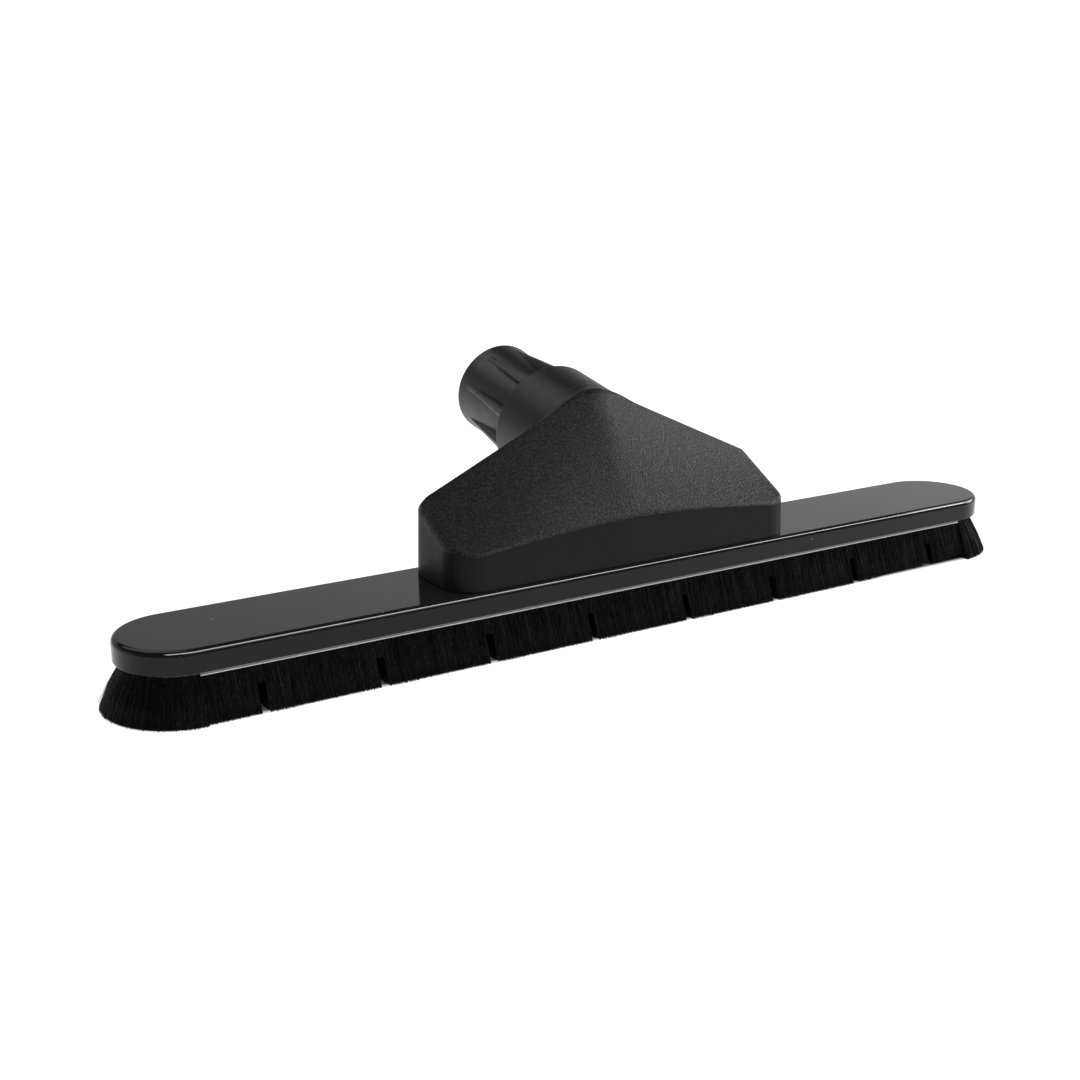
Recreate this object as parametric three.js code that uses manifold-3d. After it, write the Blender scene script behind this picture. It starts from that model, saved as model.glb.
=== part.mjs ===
// Floor head of a wet and dry vacuum cleaner: a long plate with a strip brush round its edge,
// a suction hood in one piece with its neck, and a ribbed wand cuff that turns in the neck.
// Millimetres, +Z up. While it is built, the plate's middle is at x = 0, y = 0 and the floor at z = 0.
// X runs along the head and the neck points towards +Y.
import * as THREE from "three";
import { mergeVertices } from "three/addons/utils/BufferGeometryUtils.js";
import Module from "manifold-3d";

const wasm = await Module();
wasm.setup();

// Driving dimensions
const GAP = 0.3; // clearance between faces that touch on the real object
const END_STEPS = 20; // straight facets round each half-round end

const HEAD_LENGTH = 450;
const HEAD_WIDTH = 50;
const PLATE_THICKNESS = 9.5;
const PLATE_EDGE_RADIUS = 2.4;
const BRUSH_HEIGHT = 19.5; // plate underside above the floor
const RECESS_WIDTH = 28;
const RECESS_DEPTH = 3.5;

const WINDOW_LENGTH = 59; // two suction windows, under the hood
const WINDOW_WIDTH = 22;
const WINDOW_X = 37;

const GROOVE_OUTER = 1.5; // distances inwards from the plate's edge
const GROOVE_INNER = 8.5;
const GROOVE_DEPTH = 6.2;
const CHANNEL_WALL = 0.8;
const LONG_LIP = 1.8; // how far a holder stands out under the plate
const END_LIP = 0.7;
const WIRE_RADIUS = 0.8;
const BRISTLE_SPLAY = 4.3; // outwards past the plate's edge, at the floor
const BRISTLE_LEAN_IN = 1.4;
const NOTCH_COUNT = 8;
const NOTCH_PITCH = 50.5;
const NOTCH_WIDTH = 3.4;
const NOTCH_HEIGHT = 11;

const HOOD_HALF_LENGTH = 89.5;
const HOOD_FRONT = -22.8;
const HOOD_REAR = 21.6;
const HOOD_CORNER = 13.2;
const HOOD_WALL = 3;
const HOOD_DRAFT = THREE.MathUtils.degToRad(1);
const CREST_Y = 11.3; // the roof folds here, from its long front slope to a short rear one
const CREST_SOFTNESS = 0.6;
const REAR_SLOPE = 0.8; // fall of the rear slope per unit of depth
const ROOF_SLOPE = THREE.MathUtils.degToRad(24.6); // crest line, from the neck down to the ends
const ROOF_PEAK = 73.9; // where the two crest lines would meet, above the plate's top
const ROOF_PEAK_RADIUS = 13;
const SHOULDER_RADIUS = 5; // where the roof turns down into the end walls
const FRONT_EDGE_END = 15.6; // height of the front wall at its ends
const FRONT_EDGE_RISE = 6.3; // how much higher it is in the middle

const NECK_TILT = THREE.MathUtils.degToRad(11);
const NECK_RIM_Y = 50;
const NECK_RIM_HEIGHT = 50; // rim centre above the plate's top
const NECK_RADIUS = 28;
const NECK_LENGTH = 37; // from the rim to its end inside the roof
const MOUTH_RADIUS = 26.2;
const MOUTH_DEPTH = 3;
const LAND_RADIUS = 23.6;
const LAND_END = 15; // depth from the rim
const CHAMBER_RADIUS = 25;
const CHAMBER_END = 38;

const CUFF_LENGTH = 47.3;
const CUFF_FREE_RADIUS = 22;
const CUFF_RIM_RADIUS = 20.2;
const SOCKET_MOUTH_RADIUS = 19;
const SOCKET_DEPTH = 40;
const SOCKET_END_RADIUS = 18.2;
const CUFF_STOP_RADIUS = 16.8;
const SPIGOT_RADIUS = 23.2;
const SPIGOT_BORE = 20;
const SPIGOT_LENGTH = 19;
const FLANGE_RADIUS = 25.8;
const RIB_COUNT = 8;
const RIB_LENGTH = 40;
const RIB_WIDTH = 4.2;
const RIB_TIP_WIDTH = 1.6;
const RIB_PHASE = THREE.MathUtils.degToRad(15);
const SEAL_DEPTH = 8.5;
const CLIP_DEPTH = 16.2;

const SCREW_X = 78;
const SCREW_Y = 10;
const SCREW_RADIUS = 1.9;
const SCREW_HEAD_RADIUS = 3.6;
const SCREW_HEAD_HEIGHT = 2.3;
const SCREW_TIP = 9.5; // above the plate's top
const BOSS_RADIUS = 4.2;
const BOSS_HEIGHT = 12;

// Levels and places that follow from them
const UNDERSIDE = BRUSH_HEIGHT;
const TOP = UNDERSIDE + PLATE_THICKNESS;
const STRAIGHT_HALF = (HEAD_LENGTH - HEAD_WIDTH) / 2;
const EDGE = HEAD_WIDTH / 2;
const HOOD_BASE = TOP + GAP;
const RECESS_TOP = UNDERSIDE + RECESS_DEPTH;
const HEAD_SEAT = RECESS_TOP + SCREW_HEAD_HEIGHT + GAP;
const NECK_RIM = new THREE.Vector3(0, NECK_RIM_Y, TOP + NECK_RIM_HEIGHT);
const SCREW_PLACES = [-SCREW_X, 0, SCREW_X].flatMap((x) => [[x, -SCREW_Y], [x, SCREW_Y]]);

// Materials
const finish = (color, roughness, metalness = 0) => ({ color, roughness, metalness });
const GLOSS_BLACK = finish(0x0d0d0e, 0.15);
const MATT_BLACK = finish(0x232325, 0.6);
const GALVANISED = finish(0x9a9c9e, 0.4, 0.9);
const FILAMENT = finish(0x0b0b0c, 0.8);
const RUBBER = finish(0x161616, 0.9);
const ZINC = finish(0xb9b9b4, 0.35, 0.9);

// Solids
function toSolid(geometry) {
  const bare = geometry.clone();
  bare.deleteAttribute("normal");
  bare.deleteAttribute("uv");
  const merged = mergeVertices(bare, 1e-4);
  return new wasm.Manifold(new wasm.Mesh({
    numProp: 3,
    vertProperties: Float32Array.from(merged.attributes.position.array),
    triVerts: Uint32Array.from(merged.index.array),
  }));
}

function toGeometry(solid) {
  const mesh = solid.getMesh();
  const geometry = new THREE.BufferGeometry();
  geometry.setAttribute("position", new THREE.BufferAttribute(mesh.vertProperties, 3));
  geometry.setIndex(new THREE.BufferAttribute(mesh.triVerts, 1));
  geometry.computeVertexNormals();
  return geometry;
}

const join = (first, ...others) => others.reduce((sum, other) => sum.add(other), first);
const cut = (first, ...others) => others.reduce((rest, other) => rest.subtract(other), first);

function box(width, depth, low, high, x = 0, y = 0) {
  return toSolid(new THREE.BoxGeometry(width, depth, high - low).translate(x, y, (low + high) / 2));
}

function cylinder(radius, low, high, x = 0, y = 0, sides = 24) {
  const geometry = new THREE.CylinderGeometry(radius, radius, high - low, sides);
  return toSolid(geometry.rotateX(Math.PI / 2).translate(x, y, (low + high) / 2));
}

// A closed body between equal rings of points; the first and last ring are capped
function loft(rings) {
  const count = rings[0].length;
  const centre = (ring) => ring.reduce((sum, p) => sum.add(p), new THREE.Vector3()).divideScalar(count);
  const points = [...rings.flat(), centre(rings[0]), centre(rings.at(-1))];
  const index = [];
  for (let j = 0; j < count; j++) {
    const k = (j + 1) % count;
    for (let i = 0; i + 1 < rings.length; i++) {
      const low = i * count;
      const high = low + count;
      index.push(low + j, low + k, high + k, low + j, high + k, high + j);
    }
    const last = (rings.length - 1) * count;
    index.push(points.length - 2, k, j, points.length - 1, last + j, last + k);
  }
  const geometry = new THREE.BufferGeometry().setFromPoints(points);
  return geometry.setIndex(index);
}

// Outline of a long shape with full-round ends
function stadium(length, width) {
  const radius = width / 2;
  const end = new THREE.EllipseCurve(0, 0, radius, radius, -Math.PI / 2, Math.PI / 2).getPoints(END_STEPS);
  const offset = length / 2 - radius;
  const right = end.map((p) => new THREE.Vector2(offset + p.x, p.y));
  return [...right, ...right.map((p) => p.clone().negate())];
}

function stadiumPrism(length, width, low, high) {
  const shape = new THREE.Shape(stadium(length, width));
  const geometry = new THREE.ExtrudeGeometry(shape, { depth: high - low, bevelEnabled: false });
  return toSolid(geometry.translate(0, 0, low));
}

const inset = (distance) => [HEAD_LENGTH - 2 * distance, HEAD_WIDTH - 2 * distance];

function plateRing(distance, height) {
  return stadium(...inset(distance)).map((p) => new THREE.Vector3(p.x, p.y, height));
}

function screwHoles() {
  return SCREW_PLACES.flatMap(([x, y]) => [
    cylinder(SCREW_HEAD_RADIUS + GAP, RECESS_TOP - 1, HEAD_SEAT, x, y),
    cylinder(SCREW_RADIUS + GAP, RECESS_TOP - 1, TOP + 1, x, y, 12),
  ]);
}

// The plate: brush groove all round, shallow air recess and two suction windows under the hood
function basePlate() {
  const rings = [plateRing(0, UNDERSIDE)];
  const edgeSteps = 3;
  for (let i = 0; i <= edgeSteps; i++) {
    const angle = (i / edgeSteps) * (Math.PI / 2);
    const inwards = PLATE_EDGE_RADIUS * (1 - Math.cos(angle));
    const upwards = PLATE_EDGE_RADIUS * (1 - Math.sin(angle));
    rings.push(plateRing(inwards, TOP - upwards));
  }
  const grooveTop = UNDERSIDE + GROOVE_DEPTH;
  const groove = stadiumPrism(...inset(GROOVE_OUTER), UNDERSIDE - 1, grooveTop)
    .subtract(stadiumPrism(...inset(GROOVE_INNER), UNDERSIDE - 2, grooveTop + 1));
  const recess = stadiumPrism(...inset((HEAD_WIDTH - RECESS_WIDTH) / 2), UNDERSIDE - 1, RECESS_TOP);
  const windows = [-1, 1].map((side) => {
    return box(WINDOW_LENGTH, WINDOW_WIDTH, UNDERSIDE, TOP + 1, side * WINDOW_X);
  });
  return toGeometry(cut(toSolid(loft(rings)), groove, recess, ...windows, ...screwHoles()));
}

// Hood
// Height of the crest line above the plate: round over the neck, then straight down to both ends
function crestHeight(x) {
  const reach = Math.abs(x);
  if (reach < ROOF_PEAK_RADIUS * Math.sin(ROOF_SLOPE)) {
    const centre = ROOF_PEAK - ROOF_PEAK_RADIUS / Math.cos(ROOF_SLOPE);
    return centre + Math.sqrt(ROOF_PEAK_RADIUS ** 2 - reach ** 2);
  }
  return ROOF_PEAK - reach * Math.tan(ROOF_SLOPE);
}

// How far a round corner has turned away at a distance from the wall that it turns into
function cornerLoss(radius, fromWall) {
  const past = Math.max(radius - fromWall, 0);
  return radius - Math.sqrt(Math.max(radius ** 2 - past ** 2, 0));
}

function frontEdgeHeight(x) {
  const along = Math.min(Math.abs(x) / (HOOD_HALF_LENGTH - HOOD_CORNER / 2), 1);
  return FRONT_EDGE_END + FRONT_EDGE_RISE * Math.cos(along * Math.PI / 2);
}

// Height of the roof, moved inwards by a wall thickness: a long front slope and a short rear one
function roofHeight(x, y, wall) {
  const crest = crestHeight(x);
  const slope = (crest - frontEdgeHeight(x)) / (CREST_Y - HOOD_FRONT);
  const front = crest - (CREST_Y - y) * slope;
  const rear = crest - (y - CREST_Y) * REAR_SLOPE;
  const fold = Math.hypot((front - rear) / 2, CREST_SOFTNESS);
  return (front + rear) / 2 - fold - wall * Math.hypot(1, slope, Math.tan(ROOF_SLOPE));
}

// Columns of x across the hood, closer together round its corners
function hoodColumns(half, corner) {
  const straight = half - corner;
  const side = [];
  for (let step = 4; step >= 1; step--) {
    side.push(straight + corner * Math.sin((step / 4) * Math.PI / 2));
  }
  const count = 14;
  const middle = Array.from({ length: count + 1 }, (_, i) => straight * (2 * i / count - 1));
  return [...side.map((x) => -x), ...middle, ...side.reverse()];
}

// Places from front to rear in one column, closer together over the crest
function rowPlaces(low, high) {
  const crest = Math.min(CREST_Y, high - 2);
  const front = [0, 0.33, 0.67, 1].map((share) => low + (crest - 1.5 - low) * share);
  return [...front, crest - 0.4, crest + 0.4, crest + 1.5, (crest + 1.5 + high) / 2, high];
}

// The hood's body, moved inwards by a wall thickness, between a floor height and its roof
function hoodBody(wall, floor) {
  const half = HOOD_HALF_LENGTH - wall;
  const corner = HOOD_CORNER - wall;
  const columns = hoodColumns(half, corner);
  const middleY = (HOOD_FRONT + HOOD_REAR) / 2;
  const top = [];
  const bottom = [];
  for (const x of columns) {
    const low = HOOD_FRONT + wall + cornerLoss(corner, half - Math.abs(x));
    const high = HOOD_REAR - wall - cornerLoss(corner, half - Math.abs(x));
    for (const y of rowPlaces(low, high)) {
      const z = roofHeight(x, y, wall) - cornerLoss(SHOULDER_RADIUS, half - Math.abs(x));
      const lean = z * Math.tan(HOOD_DRAFT);
      const leanX = x * (1 - lean / HOOD_HALF_LENGTH);
      const leanY = middleY + (y - middleY) * (1 - lean / (HOOD_REAR - middleY));
      top.push(new THREE.Vector3(leanX, leanY, TOP + z));
      bottom.push(new THREE.Vector3(x, y, floor));
    }
  }
  return toSolid(gridBody(top, bottom, columns.length, top.length / columns.length));
}

// A closed body between two equal grids of points, given column by column
function gridBody(top, bottom, columns, rows) {
  const index = [];
  const offset = top.length;
  for (let i = 0; i + 1 < columns; i++) {
    for (let j = 0; j + 1 < rows; j++) {
      const a = i * rows + j;
      const b = a + rows;
      index.push(a, b, b + 1, a, b + 1, a + 1);
      index.push(offset + a, offset + b + 1, offset + b, offset + a, offset + a + 1, offset + b + 1);
    }
  }
  const wallBetween = (a, b) => index.push(a, offset + b, b, a, offset + a, offset + b);
  for (let i = 0; i + 1 < columns; i++) {
    wallBetween(i * rows, (i + 1) * rows);
    wallBetween((i + 2) * rows - 1, (i + 1) * rows - 1);
  }
  for (let j = 0; j + 1 < rows; j++) {
    wallBetween(j + 1, j);
    wallBetween((columns - 1) * rows + j, (columns - 1) * rows + j + 1);
  }
  return new THREE.BufferGeometry().setFromPoints([...top, ...bottom]).setIndex(index);
}

// A body turned about the neck's axis, from pairs of a radius and a distance out from the rim
function onNeck(...profile) {
  const geometry = lathe([[0, profile[0][1]], ...profile, [0, profile.at(-1)[1]]]);
  geometry.rotateX(NECK_TILT - Math.PI / 2);
  return toSolid(geometry.translate(NECK_RIM.x, NECK_RIM.y, NECK_RIM.z));
}

const neckBore = (radius, from, to) => onNeck([radius, from], [radius, to]);

// Screw bosses, each tied to the nearest long wall by a rib
function bosses() {
  return SCREW_PLACES.flatMap(([x, y]) => {
    const wallY = y < 0 ? HOOD_FRONT + 1.5 : HOOD_REAR - 1.5;
    return [
      cylinder(BOSS_RADIUS, HOOD_BASE, TOP + BOSS_HEIGHT, x, y),
      box(2.4, Math.abs(wallY - y), HOOD_BASE + 2, TOP + BOSS_HEIGHT - 1, x, (wallY + y) / 2),
    ];
  });
}

function hood() {
  const buried = NECK_RADIUS - 4;
  const neck = onNeck([buried, -NECK_LENGTH], [NECK_RADIUS, -NECK_LENGTH + 3.5], [NECK_RADIUS, 0]);
  const outside = join(hoodBody(0, HOOD_BASE), neck);
  const rebate = hoodBody(1.4, HOOD_BASE - 1).intersect(box(200, 60, HOOD_BASE - 2, HOOD_BASE + 1.3));
  const chamberEnd = [CHAMBER_RADIUS - 3, -CHAMBER_END];
  const bores = [
    neckBore(MOUTH_RADIUS, -MOUTH_DEPTH, 1),
    neckBore(LAND_RADIUS, -LAND_END - 1, 1),
    onNeck(chamberEnd, [CHAMBER_RADIUS, -CHAMBER_END + 4], [CHAMBER_RADIUS, -LAND_END]),
  ];
  const shell = cut(outside, hoodBody(HOOD_WALL, HOOD_BASE - 1));
  const pilots = SCREW_PLACES.map(([x, y]) => {
    return cylinder(SCREW_RADIUS + GAP, HOOD_BASE - 1, TOP + SCREW_TIP + 0.8, x, y, 12);
  });
  return toGeometry(cut(join(shell, ...bosses()), rebate, ...bores, ...pilots));
}

function hoodGasket() {
  const ring = hoodBody(1.7, HOOD_BASE).subtract(hoodBody(4.6, HOOD_BASE - 1));
  return toGeometry(ring.intersect(box(200, 60, HOOD_BASE, HOOD_BASE + 1)));
}

// A screw seen from its head, which faces down
function hoodScrew() {
  const head = cylinder(SCREW_HEAD_RADIUS, RECESS_TOP, HEAD_SEAT - GAP, 0, 0, 20);
  const shank = cylinder(SCREW_RADIUS, RECESS_TOP + 1, TOP + SCREW_TIP, 0, 0, 10);
  const drive = [[4.2, 0.9], [0.9, 4.2]].map(([w, d]) => box(w, d, RECESS_TOP - 1, RECESS_TOP + 1.3));
  return toGeometry(cut(join(head, shank), ...drive));
}

// Strip brushes
// A strip's section is drawn in (out, up): out is measured outwards from the plate's edge.
// A straight strip runs along X; an end strip runs round half a circle.
function strip(section, side) {
  const straight = side === "front" || side === "rear";
  const sign = side === "front" || side === "left" ? -1 : 1;
  const length = straight ? 2 * (STRAIGHT_HALF - GAP) : Math.PI;
  const geometry = new THREE.ExtrudeGeometry(section, {
    depth: length,
    steps: straight ? 1 : END_STEPS,
    bevelEnabled: false,
    curveSegments: 4,
  });
  const place = geometry.attributes.position;
  for (let i = 0; i < place.count; i++) {
    const out = EDGE + place.getX(i);
    const up = place.getY(i);
    const along = place.getZ(i);
    if (straight) {
      place.setXYZ(i, sign * (along - length / 2), sign * out, up);
    } else {
      const angle = Math.PI / 2 - along;
      place.setXYZ(i, sign * (STRAIGHT_HALF + out * Math.cos(angle)), sign * out * Math.sin(angle), up);
    }
  }
  return geometry;
}

const outline = (pairs) => new THREE.Shape(pairs.map(([out, up]) => new THREE.Vector2(out, up)));

function channelSection(lip) {
  const outer = -GROOVE_OUTER - GAP;
  const inner = -GROOVE_INNER + GAP;
  const top = UNDERSIDE + GROOVE_DEPTH - GAP;
  const low = UNDERSIDE - lip;
  return outline([
    [outer, low], [outer, top], [inner, top], [inner, low], [inner + CHANNEL_WALL, low],
    [inner + CHANNEL_WALL, top - CHANNEL_WALL], [outer - CHANNEL_WALL, top - CHANNEL_WALL],
    [outer - CHANNEL_WALL, low],
  ]);
}

const WIRE_OUT = -(GROOVE_OUTER + GROOVE_INNER) / 2;
const WIRE_UP = UNDERSIDE + GROOVE_DEPTH - 2.9;

function bristleSection() {
  const outer = -GROOVE_OUTER - CHANNEL_WALL - 2 * GAP;
  const inner = -GROOVE_INNER + CHANNEL_WALL + 2 * GAP;
  const top = UNDERSIDE + GROOVE_DEPTH - CHANNEL_WALL - 2 * GAP;
  const lip = UNDERSIDE - LONG_LIP - GAP;
  const section = outline([
    [outer, lip], [outer, top], [inner, top], [inner, lip],
    [-GROOVE_INNER - BRISTLE_LEAN_IN, 0], [BRISTLE_SPLAY, 0],
  ]);
  const hole = new THREE.Path().absarc(WIRE_OUT, WIRE_UP, WIRE_RADIUS + GAP, 0, Math.PI * 2);
  section.holes.push(hole);
  return section;
}

function wireSection() {
  return new THREE.Shape().absarc(WIRE_OUT, WIRE_UP, WIRE_RADIUS, 0, Math.PI * 2);
}

function bristles(side) {
  const plain = toSolid(strip(bristleSection(), side));
  if (side !== "front") {
    return toGeometry(plain);
  }
  const notches = Array.from({ length: NOTCH_COUNT }, (_, i) => {
    const x = (i - (NOTCH_COUNT - 1) / 2) * NOTCH_PITCH;
    return box(NOTCH_WIDTH, 3 * EDGE, -1, NOTCH_HEIGHT, x, -EDGE);
  });
  return toGeometry(cut(plain, ...notches));
}

// Wand cuff, drawn on its own axis with the rim plane at z = 0 and the free end up
function lathe(profile, sides = 36) {
  const points = [...profile, profile[0]].map(([radius, height]) => new THREE.Vector2(radius, height));
  return new THREE.LatheGeometry(points, sides).rotateX(Math.PI / 2);
}

function cuffBody() {
  const groove = (depth, halfWidth) => [
    [SPIGOT_RADIUS, halfWidth - depth], [SPIGOT_RADIUS - 1.9, halfWidth - depth],
    [SPIGOT_RADIUS - 1.9, -halfWidth - depth], [SPIGOT_RADIUS, -halfWidth - depth],
  ];
  const socketEnd = CUFF_LENGTH - SOCKET_DEPTH;
  const flangeBack = -MOUTH_DEPTH + GAP;
  const around = [
    [SPIGOT_BORE, -SPIGOT_LENGTH], [SPIGOT_RADIUS, -SPIGOT_LENGTH],
    ...groove(CLIP_DEPTH, 0.9).reverse(), ...groove(SEAL_DEPTH, 1.5).reverse(),
    [SPIGOT_RADIUS, flangeBack], [FLANGE_RADIUS, flangeBack], [FLANGE_RADIUS, 0],
    [CUFF_RIM_RADIUS, 0], [CUFF_FREE_RADIUS, CUFF_LENGTH - 1.2],
    [CUFF_FREE_RADIUS - 0.3, CUFF_LENGTH - 0.3], [CUFF_FREE_RADIUS - 1, CUFF_LENGTH],
    [SOCKET_MOUTH_RADIUS + 0.7, CUFF_LENGTH],
    [SOCKET_MOUTH_RADIUS, CUFF_LENGTH - 1], [SOCKET_END_RADIUS, socketEnd],
    [CUFF_STOP_RADIUS, socketEnd], [CUFF_STOP_RADIUS, socketEnd - 3], [SPIGOT_BORE, -2],
  ];
  return toSolid(lathe(around));
}

// A grip rib: a wedge that is widest and tallest at the flange and runs out towards the free end
function cuffRib(angle) {
  const section = (height, reach, width) => [
    [CUFF_RIM_RADIUS - 1, -width / 2], [reach, -width * 0.42], [reach, width * 0.42],
    [CUFF_RIM_RADIUS - 1, width / 2],
  ].map(([x, y]) => new THREE.Vector3(x, y, height));
  const endRadius = CUFF_RIM_RADIUS + (CUFF_FREE_RADIUS - CUFF_RIM_RADIUS) * (RIB_LENGTH / CUFF_LENGTH);
  const wedge = loft([section(-1, FLANGE_RADIUS, RIB_WIDTH), section(RIB_LENGTH, endRadius, RIB_TIP_WIDTH)]);
  return toSolid(wedge.rotateZ(angle));
}

function wandCuff() {
  const turn = (2 * Math.PI) / RIB_COUNT;
  const ribs = Array.from({ length: RIB_COUNT }, (_, i) => cuffRib(RIB_PHASE + i * turn));
  return toGeometry(join(cuffBody(), ...ribs));
}

function retainingRing() {
  const opening = 0.3;
  const shape = new THREE.Shape();
  shape.absarc(0, 0, CHAMBER_RADIUS - GAP, opening, 2 * Math.PI - opening);
  shape.absarc(0, 0, SPIGOT_RADIUS - 1.9 + GAP, 2 * Math.PI - opening, opening, true);
  const thickness = 1.2;
  const options = { depth: thickness, bevelEnabled: false, curveSegments: 32 };
  const ring = new THREE.ExtrudeGeometry(shape, options);
  return ring.translate(0, 0, -CLIP_DEPTH - thickness / 2);
}

function sealRing() {
  const inner = SPIGOT_RADIUS - 1.9 + GAP;
  const outer = LAND_RADIUS - 0.1;
  const half = 1.2;
  const low = -SEAL_DEPTH - half;
  const high = -SEAL_DEPTH + half;
  return lathe([
    [inner, low], [outer - 0.6, low], [outer, low + 0.6], [outer, high - 0.6],
    [outer - 0.6, high], [inner, high],
  ]);
}

// The scene graph
function named(name, geometry, look, parent) {
  const mesh = new THREE.Mesh(geometry, new THREE.MeshStandardMaterial(look));
  mesh.name = name;
  parent.add(mesh);
  return mesh;
}

const floorHead = new THREE.Group();
const head = new THREE.Group();
const cuff = new THREE.Group();
cuff.position.copy(NECK_RIM);
cuff.rotation.x = NECK_TILT - Math.PI / 2;
head.add(cuff);
floorHead.add(head);

named("base_plate", basePlate(), GLOSS_BLACK, head);
named("hood", hood(), MATT_BLACK, head);
named("hood_gasket", hoodGasket(), RUBBER, head);
SCREW_PLACES.forEach(([x, y], i) => {
  named(`hood_screw_${i + 1}`, hoodScrew(), ZINC, head).position.set(x, y, 0);
});
for (const side of ["front", "rear", "left", "right"]) {
  const lip = side === "left" || side === "right" ? END_LIP : LONG_LIP;
  named(`${side}_channel`, strip(channelSection(lip), side), GALVANISED, head);
  named(`${side}_wire`, strip(wireSection(), side), ZINC, head);
  named(`${side}_bristles`, bristles(side), FILAMENT, head);
}
named("wand_cuff", wandCuff(), MATT_BLACK, cuff);
named("cuff_retaining_ring", retainingRing(), ZINC, cuff);
named("cuff_seal_ring", sealRing(), RUBBER, cuff);

// The origin is on the floor, under the middle of the whole part's box
const extent = new THREE.Box3().setFromObject(floorHead, true);
head.position.y = -(extent.min.y + extent.max.y) / 2;

export default floorHead;
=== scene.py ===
import math

import bmesh
import bpy
import numpy as np
from mathutils import Matrix, Vector


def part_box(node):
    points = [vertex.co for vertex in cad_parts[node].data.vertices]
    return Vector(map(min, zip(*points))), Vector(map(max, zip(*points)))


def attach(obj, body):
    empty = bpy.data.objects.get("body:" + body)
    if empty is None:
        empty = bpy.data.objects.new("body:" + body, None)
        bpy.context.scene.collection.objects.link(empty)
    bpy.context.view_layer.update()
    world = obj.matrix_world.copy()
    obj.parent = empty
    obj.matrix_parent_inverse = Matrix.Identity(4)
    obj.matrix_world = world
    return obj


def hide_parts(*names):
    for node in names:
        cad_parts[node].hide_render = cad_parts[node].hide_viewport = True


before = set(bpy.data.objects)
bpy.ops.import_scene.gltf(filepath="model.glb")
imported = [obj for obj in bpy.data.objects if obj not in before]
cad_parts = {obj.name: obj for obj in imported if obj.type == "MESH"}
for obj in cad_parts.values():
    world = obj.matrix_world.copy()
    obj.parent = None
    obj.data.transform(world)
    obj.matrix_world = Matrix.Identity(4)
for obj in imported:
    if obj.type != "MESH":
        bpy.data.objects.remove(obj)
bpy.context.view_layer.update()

# Lengths below are in millimetres on the head's own axes: x = 0 and y = 0 at the plate's middle,
# z = 0 on the floor. place() turns them into metres in the row frame.
MM = 0.001
plate_low, plate_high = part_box("base_plate")
PLATE_MIDDLE = (plate_low + plate_high) / 2
HEAD_LENGTH = (plate_high.x - plate_low.x) / MM
HEAD_WIDTH = (plate_high.y - plate_low.y) / MM
UNDERSIDE = plate_low.z / MM
TOP = plate_high.z / MM
STRAIGHT_HALF = (HEAD_LENGTH - HEAD_WIDTH) / 2
EDGE = HEAD_WIDTH / 2

PLATE_EDGE_RADIUS = 2.4
RECESS_INSET = 11
RECESS_DEPTH = 3.5
GROOVE_OUTER = 1.5
GROOVE_INNER = 8.5
GROOVE_DEPTH = 6.2
GAP = 0.3
WINDOW_LENGTH = 59
WINDOW_WIDTH = 22
WINDOW_X = 37
SCREW_X = 78
SCREW_Y = 10
SCREW_PLACES = [(x, y) for x in (-SCREW_X, 0, SCREW_X) for y in (-SCREW_Y, SCREW_Y)]

CHANNEL_WALL = 0.8
LONG_LIP = 1.8
END_LIP = 0.7
NOTCH_PITCH = 50.5
NOTCH_COUNT = 8
NOTCH_WIDTH = 3.4
NOTCH_HEIGHT = 11
LOBE_LENGTH = 14
HAIR_RADIUS = 0.14
HAIR_ROWS = 6
HAIR_CLUMP = 2.6  # length of strip that leans together
HAIRS_PER_MM = 3.6
HAIR_TOP = UNDERSIDE + 1.5
HAIR_BEND = UNDERSIDE - LONG_LIP - 0.2  # upright above this height, splayed below it
ROOT_OUTER = -2.8  # distances outwards from the plate's edge
ROOT_INNER = -7.2
TIP_SPLAY_LONG = 4.7
TIP_SPLAY_END = 6.2
TIP_SPREAD = 12.6  # from the outermost to the innermost tip
CORE_INSET = 0.35
CORE_LOW = 0.3
NOTCH_CORE_LIFT = 0.4
STRAY_SHARE = 0.008
RIGHT_TRIM = 2.6  # how much shorter the filaments are at the right end
RIGHT_TRIM_RUN = 0.2  # share of the front strip over which they get shorter

HOOD_BASE = TOP + GAP
HOOD_HALF = 89.5
HOOD_FRONT = -22.8
HOOD_REAR = 21.6
HOOD_CORNER = 13.2
HOOD_WALL = 3
HOOD_DRAFT = math.radians(1)
CREST_Y = 11.3
REAR_SLOPE = 0.8
ROOF_SLOPE = math.radians(24.6)
ROOF_PEAK = 73.9
ROOF_PEAK_RADIUS = 13
SHOULDER_RADIUS = 5
WALL_EDGE_RADIUS = 1.1
FRONT_EDGE_END = 15.6
FRONT_EDGE_RISE = 6.3
CREST_FOLD = 0.9  # softness of the fold along the crest
PEAK_FOLD = 7  # and how much softer it is at the peak
PEAK_FOLD_REACH = 9
NECK_BLEND = 5

NECK_TILT = math.radians(11)
NECK_RIM_Y = 50
NECK_RIM_HEIGHT = 50
NECK_RADIUS = 28
NECK_START_Y = 13.5
MOUTH_RADIUS = 26.2
MOUTH_DEPTH = 3
LAND_RADIUS = 23.6
LAND_END = 15
CHAMBER_RADIUS = 25
CHAMBER_END = 38

CUFF_LENGTH = 47.3
CUFF_FREE_RADIUS = 22
CUFF_RIM_RADIUS = 20.2
FLANGE_RADIUS = 25.8
RIB_COUNT = 8
RIB_LENGTH = 40
RIB_WIDTH = 4.2
RIB_TIP_WIDTH = 1.6
RIB_PHASE = math.radians(15)


# Mesh helpers
def place(points):
    """Head-frame millimetres to row-frame metres."""
    moved = np.asarray(points, float) * MM
    moved[..., 1] += PLATE_MIDDLE.y
    return moved


def add_object(name, data):
    made = bpy.data.objects.new(name, data)
    bpy.context.scene.collection.objects.link(made)
    return made


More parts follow.
